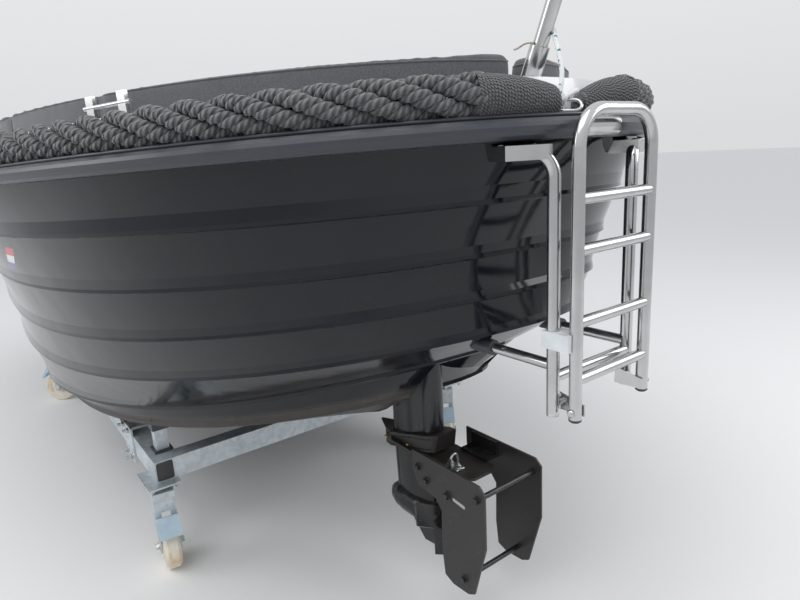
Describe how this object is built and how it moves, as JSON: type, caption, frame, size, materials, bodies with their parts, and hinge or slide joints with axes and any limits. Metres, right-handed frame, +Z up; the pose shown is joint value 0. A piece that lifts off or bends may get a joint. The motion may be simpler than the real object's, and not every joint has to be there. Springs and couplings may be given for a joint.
{
  "type": "boat tender on trolley",
  "caption": "Open round-sterned tender with lapped plank hull, rope fender, U-shaped seats, stern ladder and well-mounted steerable motor, standing on a castor trolley.",
  "frame": {"origin": "floor level under the middle of the whole outfit's bounding box", "axes": "+X towards the bow, +Y to port, +Z up"},
  "size_m": [5.0219, 2.076, 2.1079],
  "materials": {
    "black_paint": "satin",
    "light_blue_plastic": "matte",
    "dark_grey_fabric": "matte",
    "gelcoat_white": "gloss",
    "galvanised_steel": "satin",
    "gelcoat_black": "gloss",
    "cream_nylon": "matte",
    "grey_rope": "matte",
    "black_rubber": "matte",
    "stainless": "polished",
    "white_plastic": "matte"
  },
  "bodies": {
    "boat": {"backrest_port": "dark_grey_fabric", "backrest_starboard": "dark_grey_fabric", "bow_eye": "stainless", "bulkhead": "gelcoat_white", "cleat_bow_port": "stainless", "cleat_bow_starboard": "stainless", "cleat_stern_port": "stainless", "cleat_stern_starboard": "stainless", "cockpit_liner": "gelcoat_white", "deck": "gelcoat_white", "flagstaff": "stainless", "flagstaff_socket": "stainless", "foredeck": "gelcoat_white", "helm_console": "gelcoat_white", "hull": "gelcoat_black", "ladder_brackets": "stainless", "ladder_bumpers": "black_rubber", "ladder_clip": "white_plastic", "ladder_frame": "stainless", "ladder_hinges": "stainless", "motor_well": "gelcoat_white", "outboard_bracket": "black_paint", "rail_joiner_stern": "stainless", "rope_fender_port": "grey_rope", "rope_fender_starboard": "grey_rope", "rub_rail": "black_rubber", "seat_cushion_port": "dark_grey_fabric", "seat_cushion_starboard": "dark_grey_fabric", "stern_eye": "stainless", "trolley_frame": "galvanised_steel", "trolley_pads": "black_rubber"},
    "outboard": {"outboard_head": "black_paint", "outboard_leg": "black_paint", "outboard_plates": "black_paint", "gearcase": "black_paint", "steering_fin_port": "black_paint", "steering_fin_starboard": "black_paint", "fin_spacers": "black_paint"},
    "propeller": {"propeller": "black_paint"},
    "ladder_fold": {"ladder_steps": "stainless"},
    "hatch": {"motor_hatch": "gelcoat_white", "hatch_pad": "dark_grey_fabric"},
    "helm_wheel": {"steering_wheel": "black_paint"},
    "castor_aft_port": {"castor_fork_aft_port": "galvanised_steel", "castor_pedal_aft_port": "light_blue_plastic"},
    "wheel_aft_port": {"castor_wheel_aft_port": "cream_nylon"},
    "castor_aft_starboard": {"castor_fork_aft_starboard": "galvanised_steel", "castor_pedal_aft_starboard": "light_blue_plastic"},
    "wheel_aft_starboard": {"castor_wheel_aft_starboard": "cream_nylon"},
    "castor_forward_port": {"castor_fork_forward_port": "galvanised_steel", "castor_pedal_forward_port": "light_blue_plastic"},
    "wheel_forward_port": {"castor_wheel_forward_port": "cream_nylon"},
    "castor_forward_starboard": {"castor_fork_forward_starboard": "galvanised_steel", "castor_pedal_forward_starboard": "light_blue_plastic"},
    "wheel_forward_starboard": {"castor_wheel_forward_starboard": "cream_nylon"}
  },
  "joints": [
    {"name": "outboard_steer", "type": "hinge", "parent": "boat", "child": "outboard", "pos_m": [-1.714, 0, 0.5], "axis": [0, 0, 1], "range_deg": [-30, 30]},
    {"name": "propeller_spin", "type": "hinge", "parent": "outboard", "child": "propeller", "pos_m": [-1.836, 0, 0.218], "axis": [1, 0, 0], "continuous": true},
    {"name": "ladder_hinge", "type": "hinge", "parent": "boat", "child": "ladder_fold", "pos_m": [-2.376, 0, 0.768], "axis": [0, -1, 0], "range_deg": [0, 175]},
    {"name": "hatch_hinge", "type": "hinge", "parent": "boat", "child": "hatch", "pos_m": [-1.5095, 0, 1.0135], "axis": [0, 1, 0], "range_deg": [0, 85]},
    {"name": "helm_turn", "type": "hinge", "parent": "boat", "child": "helm_wheel", "pos_m": [-0.14085, -0.255, 1.29248], "axis": [-0.7809, 0, 0.6247], "range_deg": [-450, 450]},
    {"name": "swivel_aft_port", "type": "hinge", "parent": "boat", "child": "castor_aft_port", "pos_m": [-1.134, 0.612, 0.2], "axis": [0, 0, 1], "continuous": true},
    {"name": "roll_aft_port", "type": "hinge", "parent": "castor_aft_port", "child": "wheel_aft_port", "pos_m": [-1.18153, 0.61868, 0.08], "axis": [0.1392, 0.9903, 0], "continuous": true},
    {"name": "swivel_aft_starboard", "type": "hinge", "parent": "boat", "child": "castor_aft_starboard", "pos_m": [-1.134, -0.612, 0.2], "axis": [0, 0, 1], "continuous": true},
    {"name": "roll_aft_starboard", "type": "hinge", "parent": "castor_aft_starboard", "child": "wheel_aft_starboard", "pos_m": [-1.17283, -0.58379, 0.08], "axis": [0.5878, 0.809, 0], "continuous": true},
    {"name": "swivel_forward_port", "type": "hinge", "parent": "boat", "child": "castor_forward_port", "pos_m": [0.739, 0.612, 0.2], "axis": [0, 0, 1], "continuous": true},
    {"name": "roll_forward_port", "type": "hinge", "parent": "castor_forward_port", "child": "wheel_forward_port", "pos_m": [0.76721, 0.65083, 0.08], "axis": [0.809, -0.5878, 0], "continuous": true},
    {"name": "swivel_forward_starboard", "type": "hinge", "parent": "boat", "child": "castor_forward_starboard", "pos_m": [0.739, -0.612, 0.2], "axis": [0, 0, 1], "continuous": true},
    {"name": "roll_forward_starboard", "type": "hinge", "parent": "castor_forward_starboard", "child": "wheel_forward_starboard", "pos_m": [0.69743, -0.636, 0.08], "axis": [-0.5, 0.866, 0], "continuous": true}
  ],
  "couplings": [
    {"joint": "helm_turn", "follows": "outboard_steer", "ratio": -15}
  ]
}
